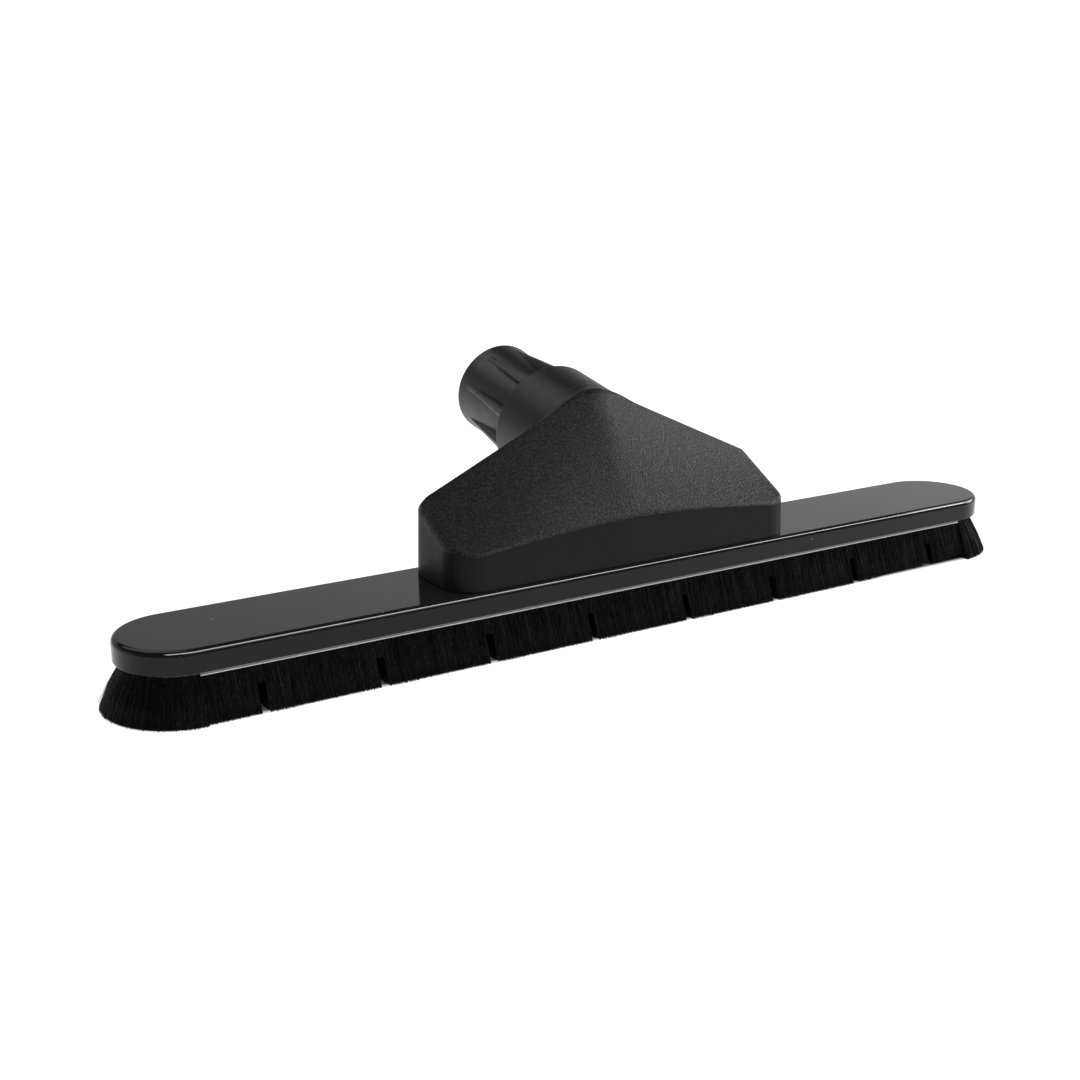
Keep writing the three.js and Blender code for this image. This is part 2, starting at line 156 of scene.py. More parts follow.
def face_outwards(mesh):
    clean = bmesh.new()
    clean.from_mesh(mesh)
    bmesh.ops.recalc_face_normals(clean, faces=clean.faces)
    clean.to_mesh(mesh)
    clean.free()


def new_piece(name, points, faces, body, materials, sharp_deg=35):
    mesh = bpy.data.meshes.new(name)
    mesh.from_pydata(place(points).reshape(-1, 3).tolist(), [], faces)
    mesh.validate()
    face_outwards(mesh)
    piece = add_object(name, mesh)
    for made in materials:
        mesh.materials.append(made)
    soften(mesh, sharp_deg)
    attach(piece, body)
    return piece


def soften(mesh, sharp_deg):
    mesh.polygons.foreach_set("use_smooth", [True] * len(mesh.polygons))
    mesh.set_sharp_from_angle(angle=math.radians(sharp_deg))


def ring_faces(rings, count, closed_path=False):
    """Quads between equal rings of points, numbered ring by ring."""
    faces = []
    last = rings if closed_path else rings - 1
    for i in range(last):
        low = i * count
        high = ((i + 1) % rings) * count
        for j in range(count):
            k = (j + 1) % count
            faces.append((low + j, low + k, high + k, high + j))
    return faces


def end_caps(rings, count):
    """Faces that close the first and the last ring."""
    return [tuple(range(count)), tuple(range((rings - 1) * count, rings * count))]


def apply_modifiers(piece, sharp_deg):
    """Turns the evaluated mesh into the piece's own mesh."""
    graph = bpy.context.evaluated_depsgraph_get()
    made = bpy.data.meshes.new_from_object(piece.evaluated_get(graph))
    piece.modifiers.clear()
    piece.data = made
    soften(made, sharp_deg)


def cut_away(piece, cutters, sharp_deg=35):
    """Subtracts closed meshes, given as (points, faces), from a piece."""
    tools = []
    for points, faces in cutters:
        mesh = bpy.data.meshes.new("tool")
        mesh.from_pydata(place(points).reshape(-1, 3).tolist(), [], faces)
        face_outwards(mesh)
        tool = add_object("tool", mesh)
        modifier = piece.modifiers.new("cut", "BOOLEAN")
        modifier.operation = "DIFFERENCE"
        modifier.solver = "EXACT"
        modifier.object = tool
        tools.append(tool)
    bpy.context.view_layer.update()
    apply_modifiers(piece, sharp_deg)
    for tool in tools:
        bpy.data.objects.remove(tool)


def turned(profile, sides, matrix):
    """A closed body of revolution about z from a closed (radius, height) loop."""
    angle = np.arange(sides) * 2 * math.pi / sides
    radius = np.array([p[0] for p in profile])[:, None]
    height = np.array([p[1] for p in profile])[:, None]
    points = np.stack([
        radius * np.cos(angle), radius * np.sin(angle), height + 0 * angle], axis=-1)
    moved = points.reshape(-1, 3) @ np.array(matrix.to_3x3()).T + np.array(matrix.translation)
    return moved, ring_faces(len(profile), sides, closed_path=True)


def arc(centre, radius, start_deg, end_deg, steps):
    angles = np.radians(np.linspace(start_deg, end_deg, steps + 1))
    return [(centre[0] + radius * math.cos(a), centre[1] + radius * math.sin(a)) for a in angles]


def disc(radius, low, high, x, y, sides=32):
    angle = np.arange(sides) * 2 * math.pi / sides
    ring = [(x + radius * math.cos(a), y + radius * math.sin(a)) for a in angle]
    points = [(u, v, low) for u, v in ring] + [(u, v, high) for u, v in ring]
    return np.array(points), ring_faces(2, sides) + end_caps(2, sides)


def block(low, high):
    corners = [(x, y, z) for z in (low[2], high[2]) for x, y in (
        (low[0], low[1]), (high[0], low[1]), (high[0], high[1]), (low[0], high[1]))]
    faces = ring_faces(2, 4) + [(0, 1, 2, 3), (4, 5, 6, 7)]
    return np.array(corners, float), faces


# Materials
def look(name, base, roughness, metallic=0.0, ior=1.5):
    made = bpy.data.materials.new(name)
    made.use_nodes = True
    shader = made.node_tree.nodes["Principled BSDF"]
    shader.inputs["Base Color"].default_value = (*base, 1)
    shader.inputs["Roughness"].default_value = roughness
    shader.inputs["Metallic"].default_value = metallic
    shader.inputs["IOR"].default_value = ior
    return made


def add(made, kind, **settings):
    node = made.node_tree.nodes.new(kind)
    for key, value in settings.items():
        if key in node.inputs:
            node.inputs[key].default_value = value
        else:
            setattr(node, key, value)
    return node


def wire(made, source, output, target, socket):
    made.node_tree.links.new(source.outputs[output], target.inputs[socket])


def coordinates(made, scale=(1, 1, 1)):
    where = add(made, "ShaderNodeTexCoord")
    mapping = add(made, "ShaderNodeMapping")
    mapping.inputs["Scale"].default_value = scale
    wire(made, where, "Object", mapping, "Vector")
    return mapping


def noise(made, scale, detail=2, roughness=0.5, stretch=(1, 1, 1)):
    node = add(made, "ShaderNodeTexNoise", Scale=scale, Detail=detail, Roughness=roughness)
    wire(made, coordinates(made, stretch), "Vector", node, "Vector")
    return node


def vary_roughness(made, source, low, high):
    shader = made.node_tree.nodes["Principled BSDF"]
    spread = add(made, "ShaderNodeMapRange")
    spread.inputs["From Min"].default_value = 0.3
    spread.inputs["From Max"].default_value = 0.7
    spread.inputs["To Min"].default_value = low
    spread.inputs["To Max"].default_value = high
    wire(made, source, "Fac", spread, "Value")
    wire(made, spread, "Result", shader, "Roughness")


def set_stops(ramp, stops):
    """Fills a colour ramp from (position, grey) pairs."""
    elements = ramp.color_ramp.elements
    while len(elements) < len(stops):
        elements.new(0.5)
    for element, (position, grey) in zip(elements, stops):
        element.position = position
        element.color = (grey, grey, grey, 1)


def vary_colour(made, source, output, stops):
    shader = made.node_tree.nodes["Principled BSDF"]
    ramp = add(made, "ShaderNodeValToRGB")
    set_stops(ramp, stops)
    wire(made, source, output, ramp, "Fac")
    wire(made, ramp, "Color", shader, "Base Color")


def bump(made, sources, distances):
    """Surface relief from one or more noises."""
    shader = made.node_tree.nodes["Principled BSDF"]
    previous = None
    for source, depth in zip(sources, distances):
        node = add(made, "ShaderNodeBump", Strength=1.0, Distance=depth)
        wire(made, source, "Fac", node, "Height")
        if previous:
            wire(made, previous, "Normal", node, "Normal")
        previous = node
    wire(made, previous, "Normal", shader, "Normal")


def gloss_black():
    """Polished moulding with a few specks of dust."""
    made = look("gloss_black", (0.002, 0.002, 0.0022), 0.07, ior=1.28)
    cells = add(made, "ShaderNodeTexVoronoi", Scale=300)
    wire(made, coordinates(made), "Vector", cells, "Vector")
    apart = add(made, "ShaderNodeSeparateColor")
    wire(made, cells, "Color", apart, "Color")
    size = add(made, "ShaderNodeMapRange")
    size.inputs["From Min"].default_value = 0.62
    size.inputs["To Min"].default_value = 0.0
    size.inputs["To Max"].default_value = 0.065
    wire(made, apart, "Red", size, "Value")
    speck = add(made, "ShaderNodeMath", operation="LESS_THAN")
    wire(made, cells, "Distance", speck, 0)
    wire(made, size, "Result", speck, 1)
    vary_colour(made, speck, "Value", [(0, 0.0022), (1, 0.16)])
    vary_roughness(made, noise(made, 60, 3), 0.05, 0.08)
    bump(made, [noise(made, 30, 1)], [0.00001])
    return made


def satin_black():
    """Smooth moulded plastic with a faint sheen."""
    made = look("satin_black", (0.005, 0.005, 0.0053), 0.45, ior=1.22)
    vary_colour(made, noise(made, 35, 3), "Fac", [(0.3, 0.0045), (0.7, 0.0062)])
    vary_roughness(made, noise(made, 220, 4, 0.6), 0.40, 0.50)
    bump(made, [noise(made, 2600, 2), noise(made, 500, 2)], [0.000012, 0.00002])
    return made


def lit_neck_black():
    """The same moulding, a little glossier round the neck, and made lighter and more reflective there as
    painted light.
    """
    made = look("lit_neck_black", (0.006, 0.006, 0.0063), 0.42, ior=1.4)
    # painted light: a lighter colour than the satin moulding it copies
    vary_colour(made, noise(made, 35, 3), "Fac", [(0.3, 0.0055), (0.7, 0.0072)])
    vary_roughness(made, noise(made, 220, 4, 0.6), 0.38, 0.48)
    bump(made, [noise(made, 2600, 2), noise(made, 500, 2)], [0.000012, 0.00002])
    return made


def grained_black():
    """Spark-eroded grain that glitters on the hood's sloping faces."""
    made = look("grained_black", (0.007, 0.007, 0.0073), 0.5, ior=1.29)
    vary_colour(made, noise(made, 1200, 2, 0.7), "Fac", [(0.46, 0.002), (0.66, 0.026)])
    vary_roughness(made, noise(made, 1300, 2), 0.28, 0.54)
    bump(made, [noise(made, 1250, 2, 0.7)], [0.00045])
    return made


def cuff_black():
    made = look("cuff_black", (0.006, 0.006, 0.0063), 0.4, ior=1.48)
    vary_colour(made, noise(made, 40, 3), "Fac", [(0.3, 0.005), (0.7, 0.0072)])
    vary_roughness(made, noise(made, 260, 4, 0.6), 0.35, 0.46)
    bump(made, [noise(made, 2400, 2)], [0.000012])
    return made


def filament():
    """Nylon filament: dark, with lighter streaks along its length painted into its colour as highlights."""
    made = look("filament", (0.003, 0.003, 0.003), 0.4, ior=1.22)
    # painted highlights: lighter streaks along each filament stand in for its sheen
    painted_highlight_streaks = noise(made, 1, 2, 0.6, stretch=(2400, 2400, 7))
    vary_colour(made, painted_highlight_streaks, "Fac", [(0.45, 0.0006), (0.58, 0.002), (0.72, 0.05)])
    vary_roughness(made, noise(made, 1, 1, 0.5, stretch=(300, 300, 20)), 0.3, 0.5)
    return made


def galvanised():
    """Dull strip steel, with painted highlights: lighter along the lower edge of its lips, darker across
    their middle, lighter again at their top.
    """
    made = look("galvanised", (0.2, 0.2, 0.21), 0.4, metallic=1.0)
    where = add(made, "ShaderNodeTexCoord")
    apart = add(made, "ShaderNodeSeparateXYZ")
    wire(made, where, "Object", apart, "Vector")
    up_lip = add(made, "ShaderNodeMapRange")
    up_lip.inputs["From Min"].default_value = (UNDERSIDE - LONG_LIP) * MM
    up_lip.inputs["From Max"].default_value = UNDERSIDE * MM
    wire(made, apart, "Z", up_lip, "Value")
    painted_lip_highlights = add(made, "ShaderNodeMath", operation="MULTIPLY_ADD")
    wire(made, noise(made, 500, 3, 0.6), "Fac", painted_lip_highlights, 0)
    painted_lip_highlights.inputs[1].default_value = 0.2
    wire(made, up_lip, "Result", painted_lip_highlights, 2)
    # painted highlights by height on the lip, broken into random patches: light at the lower edge, dark in
    # the middle, light at the top
    vary_colour(made, painted_lip_highlights, "Value", [(0.3, 0.5), (0.42, 0.12), (0.66, 0.12), (0.85, 0.3), (1, 0.36)])
    vary_roughness(made, noise(made, 900, 3), 0.3, 0.5)
    bump(made, [noise(made, 1, 2, 0.5, stretch=(60, 900, 900))], [0.00003])
    return made


def zinc():
    made = look("zinc", (0.5, 0.5, 0.49), 0.3, metallic=1.0)
    vary_colour(made, noise(made, 600, 3), "Fac", [(0.3, 0.42), (0.7, 0.58)])
    vary_roughness(made, noise(made, 1200, 3), 0.24, 0.4)
    return made


def rubber():
    made = look("rubber", (0.012, 0.012, 0.012), 0.75)
    vary_colour(made, noise(made, 300, 3), "Fac", [(0.3, 0.009), (0.7, 0.016)])
    vary_roughness(made, noise(made, 900, 3), 0.65, 0.85)
    bump(made, [noise(made, 1800, 2)], [0.00003])
    return made


GLOSS = gloss_black()
SATIN = satin_black()
PAINTED_LIT_NECK = lit_neck_black()
GRAIN = grained_black()
CUFF = cuff_black()
FILAMENT = filament()
GALVANISED = galvanised()
ZINC = zinc()
RUBBER = rubber()


# Base plate
def stadium(inset, height, steps=40):
    """Outline of the plate, moved inwards, as points at one height."""
    angle = np.radians(np.linspace(-90, 90, steps + 1))
    radius = EDGE - inset
    right = np.stack([STRAIGHT_HALF + radius * np.cos(angle), radius * np.sin(angle)], axis=-1)
    outline = np.concatenate([right, -right])
    return np.column_stack([outline, np.full(len(outline), height)])


def plate_section():
    """(inset, height) pairs from the recess under the plate, round the groove, to the top."""
    ceiling = UNDERSIDE + RECESS_DEPTH
    groove_top = UNDERSIDE + GROOVE_DEPTH
    section = [
        (RECESS_INSET + 0.5, ceiling), (RECESS_INSET, ceiling - 0.5), (RECESS_INSET, UNDERSIDE + 0.3),
        (RECESS_INSET - 0.3, UNDERSIDE), (GROOVE_INNER + 0.2, UNDERSIDE),
        (GROOVE_INNER, UNDERSIDE + 0.2), (GROOVE_INNER, groove_top), (GROOVE_OUTER, groove_top),
        (GROOVE_OUTER, UNDERSIDE + 0.2), (GROOVE_OUTER - 0.2, UNDERSIDE), (0.35, UNDERSIDE),
        (0.1, UNDERSIDE + 0.1), (0, UNDERSIDE + 0.35), (0, UNDERSIDE + 0.6),
        (0, TOP - PLATE_EDGE_RADIUS - 0.3),
    ]
    for x, z in arc((0, 0), PLATE_EDGE_RADIUS, 0, 90, 10):
        section.append((PLATE_EDGE_RADIUS - x, TOP - PLATE_EDGE_RADIUS + z))
    section.append((PLATE_EDGE_RADIUS + 0.4, TOP))
    return section


def build_plate():
    section = plate_section()
    rings = [stadium(inset, height) for inset, height in section]
    count = len(rings[0])
    faces = ring_faces(len(rings), count) + end_caps(len(rings), count)
    plate = new_piece(
        "gloss_plate", np.concatenate(rings), faces, "head", [GLOSS])
    cutters = [
        block((s * WINDOW_X - WINDOW_LENGTH / 2, -WINDOW_WIDTH / 2, UNDERSIDE - 1),
              (s * WINDOW_X + WINDOW_LENGTH / 2, WINDOW_WIDTH / 2, TOP + 1)) for s in (-1, 1)]
    seat = UNDERSIDE + RECESS_DEPTH
    for x, y in SCREW_PLACES:
        cutters.append(disc(3.9, seat - 1, seat + 2.6, x, y))
        cutters.append(disc(2.2, seat - 1.5, TOP + 1, x, y, 24))
    cut_away(plate, cutters)
    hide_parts("base_plate")
    build_edge_light(plate)


# Hood
def smooth_min(a, b, width):
    overlap = np.maximum(width - np.abs(a - b), 0) / np.maximum(width, 1e-6)
    return np.minimum(a, b) - overlap ** 2 * width / 4


def smooth_max(a, b, width):
    return -smooth_min(-a, -b, width)


def corner_loss(radius, from_wall):
    past = np.maximum(radius - from_wall, 0)
    return radius - np.sqrt(np.maximum(radius ** 2 - past ** 2, 0))


def crest_height(x):
    reach = np.abs(x)
    centre = ROOF_PEAK - ROOF_PEAK_RADIUS / math.cos(ROOF_SLOPE)
    dome = centre + np.sqrt(np.maximum(ROOF_PEAK_RADIUS ** 2 - reach ** 2, 0))
    line = ROOF_PEAK - reach * math.tan(ROOF_SLOPE)
    return np.where(reach < ROOF_PEAK_RADIUS * math.sin(ROOF_SLOPE), dome, line)


def front_edge_height(x):
    along = np.minimum(np.abs(x) / (HOOD_HALF - HOOD_CORNER / 2), 1)
    return FRONT_EDGE_END + FRONT_EDGE_RISE * np.cos(along * math.pi / 2)


def neck_top_height(x, y):
    """Height of the neck's upper side, just under its real surface."""
    radius = NECK_RADIUS - 0.03
    axis = NECK_RIM_HEIGHT - (NECK_RIM_Y - y) * math.tan(NECK_TILT)
    lift = np.sqrt(np.maximum(radius ** 2 - x ** 2, 0)) / math.cos(NECK_TILT)
    return np.where(np.abs(x) < radius, axis + lift, -100)


def edge_distance(x, y, half, low, high, corner):
    """How far inside the hood's rounded outline a point lies."""
    middle = (low + high) / 2
    dx = np.abs(x) - (half - corner)
    dy = np.abs(y - middle) - ((high - low) / 2 - corner)
    outside = np.hypot(np.maximum(dx, 0), np.maximum(dy, 0)) + np.minimum(np.maximum(dx, dy), 0)
    return corner - outside


def roof_slopes(x, y):
    """The front slope's steepness, and the heights of the front and the rear slope."""
    crest = crest_height(x)
    slope = (crest - front_edge_height(x)) / (CREST_Y - HOOD_FRONT)
    return slope, crest - (CREST_Y - y) * slope, crest - (y - CREST_Y) * REAR_SLOPE


def outer_roof(x, y):
    _, front, rear = roof_slopes(x, y)
    behind = smooth_max(rear, neck_top_height(x, y), NECK_BLEND)
    fold = CREST_FOLD + PEAK_FOLD * np.exp(-(x / PEAK_FOLD_REACH) ** 2)
    height = smooth_min(front, behind, fold)
    height = height - corner_loss(SHOULDER_RADIUS, HOOD_HALF - np.abs(x))
    edge = edge_distance(x, y, HOOD_HALF, HOOD_FRONT, HOOD_REAR, HOOD_CORNER)
    return height - corner_loss(WALL_EDGE_RADIUS, edge)


def inner_roof(x, y):
    slope, front, rear = roof_slopes(x, y)
    height = smooth_min(front, rear, 2.4) - corner_loss(SHOULDER_RADIUS, HOOD_HALF - np.abs(x))
    return height - HOOD_WALL * np.sqrt(1 + slope ** 2 + math.tan(ROOF_SLOPE) ** 2)


def hood_columns(half, corner):
    """Places along the hood, close together at its ends."""
    near = np.array([0, 0.04, 0.15, 0.35, 0.65, 1.0, 1.5, 2.1, 2.8, 3.6, 4.5, 5.6, 7, 8.6, 10.4])
    near = np.append(near * corner / HOOD_CORNER, corner)
    middle = np.linspace(-(half - corner), half - corner, 121)[1:-1]
    return np.concatenate([-half + near, middle, (half - near)[::-1]])


def hood_rows(low, high):
    """Places from front to rear in one column, close together at the edges and over the crest."""
    crest = min(CREST_Y, high - 3.4)
    edge = low + np.array([0, 0.04, 0.12, 0.27, 0.5, 0.8, 1.15])
    front = np.linspace(low + 1.7, crest - 3, 24)
    over = np.linspace(crest - 2.6, crest + 2.8, 16)
    rear = np.linspace(crest + 3.0, high - 1.5, 6) if high - 1.5 > crest + 3 else np.full(6, crest + 2.8)
    last = high - np.array([1.15, 0.8, 0.5, 0.27, 0.12, 0.04, 0])
    return np.sort(np.concatenate([edge, front, over, rear, last]))


def hood_grid(wall, roof):
    """Points of the roof and of the base below them, column by column."""
    half = HOOD_HALF - wall
    corner = HOOD_CORNER - wall
    middle = (HOOD_FRONT + HOOD_REAR) / 2
    columns, tops, floors = hood_columns(half, corner), [], []
    for x in columns:
        loss = float(corner_loss(corner, half - abs(x)))
        rows = hood_rows(HOOD_FRONT + wall + loss, HOOD_REAR - wall - loss)
        z = np.maximum(roof(np.full(len(rows), x), rows), GAP + 0.5)
        lean = z * math.tan(HOOD_DRAFT)
        lean_y = middle + (rows - middle) * (1 - lean / (HOOD_REAR - middle))
        tops.append(np.column_stack([x * (1 - lean / HOOD_HALF), lean_y, TOP + z]))
        floors.append(np.column_stack([np.full(len(rows), x), rows, np.full(len(rows), HOOD_BASE)]))
    return np.array(tops), np.array(floors)


def grid_border(columns, rows):
    """Numbers of a grid's border points in order round it."""
    border = [i * rows for i in range(columns)]
    border += [(columns - 1) * rows + j for j in range(1, rows)]
    border += [i * rows + rows - 1 for i in range(columns - 2, -1, -1)]
    return border + list(range(rows - 2, 0, -1))


def neck_frame():
    """From the neck's own axis, with the rim at z = 0 and up towards +y, to the head frame."""
    turn = Matrix.Rotation(math.pi, 4, "Z") @ Matrix.Rotation(math.pi / 2 - NECK_TILT, 4, "X")
    return Matrix.Translation((0, NECK_RIM_Y, TOP + NECK_RIM_HEIGHT)) @ turn


def hood_shell():
    """Points and faces of the hollow hood, and how many of the first faces are its roof."""
    outer, outer_floor = hood_grid(0, outer_roof)
    inner, inner_floor = hood_grid(HOOD_WALL, inner_roof)
    columns, rows = outer.shape[:2]
    border = grid_border(columns, rows)
    points, faces = [], []

    def layer(block_points):
        start = sum(len(p) for p in points)
        points.append(block_points.reshape(-1, 3))
        return start

    def skin(start):
        for i in range(columns - 1):
            for j in range(rows - 1):
                a = start + i * rows + j
                faces.append((a, a + rows, a + rows + 1, a + 1))

    def band(first, second):
        for i in range(len(border)):
            k = (i + 1) % len(border)
            faces.append((first[i], first[k], second[k], second[i]))

    top = layer(outer)
    skin(top)
    roof_faces = len(faces)
    wall_top = [top + b for b in border]
    under = layer(outer_floor.reshape(-1, 3)[border])
    ring = list(range(under, under + len(border)))
    band(wall_top, ring)
    lining = layer(inner)
    skin(lining)
    inner_top = [lining + b for b in border]
    inside = layer(inner_floor.reshape(-1, 3)[border])
    inner_ring = list(range(inside, inside + len(border)))
    band(inner_top, inner_ring)
    band(ring, inner_ring)
    return np.concatenate(points), faces, roof_faces


def neck_tube():
    """The neck outside the hood, from a plane just behind the crest to its rounded rim."""
    chamber = [(CHAMBER_RADIUS, -60), (CHAMBER_RADIUS, -LAND_END)]
    mouth = [(LAND_RADIUS, -LAND_END), (LAND_RADIUS, -MOUTH_DEPTH), (MOUTH_RADIUS, -MOUTH_DEPTH),
             (MOUTH_RADIUS, -0.3), (MOUTH_RADIUS + 0.1, -0.1), (MOUTH_RADIUS + 0.3, 0)]
    rim = arc((NECK_RADIUS - 0.8, -0.8), 0.8, 90, 0, 5)
    body = [(NECK_RADIUS, -1.2), (NECK_RADIUS, -60)]
    profile = chamber + mouth + rim + body
    sides = 144
    points, faces = turned(profile, sides, neck_frame())
    rings = points.reshape(len(profile), sides, 3)
    along = Vector((0, math.cos(NECK_TILT), math.sin(NECK_TILT)))
    for ring in (rings[0], rings[-1]):
        step = (NECK_START_Y - ring[:, 1]) / along.y
        ring += step[:, None] * np.array(along)
    return rings.reshape(-1, 3), faces


def build_hood():
    points, faces, roof_faces = hood_shell()
    hood = new_piece("hood_shell", points, faces, "head", [SATIN, GRAIN, PAINTED_LIT_NECK])
    for i in range(min(roof_faces, len(hood.data.polygons))):
        face = hood.data.polygons[i]
        x, y = face.center.x / MM, (face.center.y - PLATE_MIDDLE.y) / MM
        # rear-slope faces by the neck take the neck's lighter copy of the moulding, which paints light on
        # them
        face.material_index = 2 if y > CREST_Y + 0.6 and abs(x) < NECK_RADIUS + 3 else 1
    bore = [(0.01, -CHAMBER_END), (CHAMBER_RADIUS - 3, -CHAMBER_END),
            (CHAMBER_RADIUS + 0.2, -CHAMBER_END + 4), (CHAMBER_RADIUS + 0.2, 4), (0.01, 4)]
    cut_away(hood, [turned(bore, 96, neck_frame())], 30)
    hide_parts("hood")
    points, faces = neck_tube()
    new_piece("hood_neck", points, faces, "head", [PAINTED_LIT_NECK])
    for i, (x, y) in enumerate(SCREW_PLACES):
        loop = [(2.2, HOOD_BASE), (4.0, HOOD_BASE), (4.2, HOOD_BASE + 0.3), (4.2, TOP + 11.6),
                (3.8, TOP + 12), (2.2, TOP + 12)]
        points, faces = turned(loop, 32, Matrix.Translation((x, y, 0)))
        new_piece(f"screw_boss_{i + 1}", points, faces, "head", [SATIN])


# Wand cuff, on its own axis with the rim at z = 0
def cone(s):
    return CUFF_RIM_RADIUS + (CUFF_FREE_RADIUS - CUFF_RIM_RADIUS) * s / (CUFF_LENGTH - 1.2)


def cuff_columns(s):
    """Angles and rib shares round the cuff at one height: crisp along each rib's flanks."""
    share = min(max(s / RIB_LENGTH, 0), 1)
    half = (RIB_WIDTH + (RIB_TIP_WIDTH - RIB_WIDTH) * share) / 2
    radius = float(cone(max(s, 0)))
    flank = 0.35
    offsets = [0, half * 0.5, half - 0.35, half - 0.08, half + 0.06, half + flank * 0.6, half + flank]
    lifts = [1, 1, 0.985, 0.93, 0.8, 0.18, 0]
    valley = np.linspace(half + flank, radius * math.pi / RIB_COUNT, 9)[1:]
    offsets = np.concatenate([offsets, valley]) / radius
    lifts = np.concatenate([lifts, np.zeros(len(valley))])
    angles = np.concatenate([-offsets[:0:-1], offsets[:-1]])
    shares = np.concatenate([lifts[:0:-1], lifts[:-1]])
    turn = 2 * math.pi / RIB_COUNT
    every = [angles + RIB_PHASE + i * turn for i in range(RIB_COUNT)]
    return np.concatenate(every), np.tile(shares, RIB_COUNT)


def cuff_ring(radius, s, ribbed):
    angles, shares = cuff_columns(s)
    if ribbed:
        end = float(cone(RIB_LENGTH))
        reach = FLANGE_RADIUS - 0.25 + (end - FLANGE_RADIUS + 0.25) * s / RIB_LENGTH
        radius = radius + np.maximum(reach - radius, 0) * shares
    else:
        radius = np.full(len(angles), float(radius))
    # up on the head is +y on the neck's own axis, and angles run from up towards the head's +x
    return np.column_stack([-radius * np.sin(angles), radius * np.cos(angles), np.full(len(angles), s)])


def build_cuff():
    rings = []
    for s in np.concatenate([[0], np.linspace(0.25, 39.6, 30), [40.2, 41, 43, 45]]):
        rings.append(cuff_ring(float(cone(s)), s, True))
    for r, s in arc((CUFF_FREE_RADIUS - 1.1, CUFF_LENGTH - 1.1), 1.1, 0, 90, 6):
        rings.append(cuff_ring(r, s, False))
    inside = [
        (19.9, CUFF_LENGTH), (19.5, CUFF_LENGTH - 0.1), (19.15, CUFF_LENGTH - 0.45), (19, CUFF_LENGTH - 1),
        (18.2, CUFF_LENGTH - 40), (17.2, CUFF_LENGTH - 40), (16.8, CUFF_LENGTH - 40.4),
        (16.8, CUFF_LENGTH - 43), (20, -2), (20, -19), (23.2, -19), (23.2, -17.1), (21.3, -17.1),
        (21.3, -15.3), (23.2, -15.3), (23.2, -10), (21.3, -10), (21.3, -7), (23.2, -7), (23.2, -2.7),
        (25.8, -2.7), (25.8, -0.2), (25.6, 0),
    ]
    for r, s in inside:
        rings.append(cuff_ring(r, s, False))
    count = len(rings[0])
    faces = ring_faces(len(rings), count, closed_path=True)
    matrix = np.array(neck_frame())
    points = np.concatenate(rings) @ matrix[:3, :3].T + matrix[:3, 3]
    cuff = new_piece("ribbed_cuff", points, faces, "cuff", [CUFF], 40)
    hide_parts("wand_cuff")


# Strip brushes
def along_side(side, along, out, up):
    """A point on one of the four strips. along is 0 to 1, out is measured outwards from the plate's edge."""
    sign = -1 if side in ("front", "left") else 1
    distance = EDGE + out
    if side in ("front", "rear"):
        x = sign * (along * 2 - 1) * (STRAIGHT_HALF - GAP)
        return np.stack([x + 0 * out, sign * distance + 0 * x, up + 0 * x], axis=-1)
    angle = math.pi / 2 - along * math.pi
    x = sign * (STRAIGHT_HALF + distance * np.cos(angle))
    return np.stack([x, sign * distance * np.sin(angle), up + 0 * x], axis=-1)


def channel_section(lip):
    """The folded strip that holds the filaments, with rounded lips."""
    outer = -GROOVE_OUTER - GAP
    inner = -GROOVE_INNER + GAP
    top = UNDERSIDE + GROOVE_DEPTH - GAP
    low = UNDERSIDE - lip
    w = CHANNEL_WALL
    return [
        (outer - 0.1, low), (outer, low + 0.15), (outer, top - 0.8), (outer - 0.25, top - 0.25),
        (outer - 0.8, top), (inner + 0.8, top), (inner + 0.25, top - 0.25), (inner, top - 0.8),
        (inner, low + 0.15), (inner + 0.1, low), (inner + w - 0.1, low), (inner + w, low + 0.15),
        (inner + w, top - w), (outer - w, top - w), (outer - w, low + 0.15), (outer - w + 0.1, low),
    ]


def build_channel(side):
    straight = side in ("front", "rear")
    section = channel_section(LONG_LIP if straight else END_LIP)
    stations = 2 if straight else 49
    out = np.array([p[0] for p in section])
    up = np.array([p[1] for p in section])
    rings = [along_side(side, np.full(len(out), t), out, up) for t in np.linspace(0, 1, stations)]
    count = len(section)
    faces = ring_faces(stations, count) + end_caps(stations, count)
    channel = new_piece(
        f"{side}_strip_channel", np.concatenate(rings), faces, "head", [GALVANISED])
    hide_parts(f"{side}_channel")


def notch_places():
    return (np.arange(NOTCH_COUNT) - (NOTCH_COUNT - 1) / 2) * NOTCH_PITCH


def strip_run(side):
    return 2 * (STRAIGHT_HALF - GAP) if side in ("front", "rear") else math.pi * (EDGE - 2)


def tip_splay(side):
    return TIP_SPLAY_LONG if side in ("front", "rear") else TIP_SPLAY_END


def trim(side, along):
    """The filaments were cut shorter towards the right end of the head."""
    along = np.asarray(along)
    if side == "right":
        return RIGHT_TRIM * (1 - along)
    if side == "front":
        return RIGHT_TRIM * np.clip((RIGHT_TRIM_RUN - along) / RIGHT_TRIM_RUN, 0, 1)
    return 0 * along


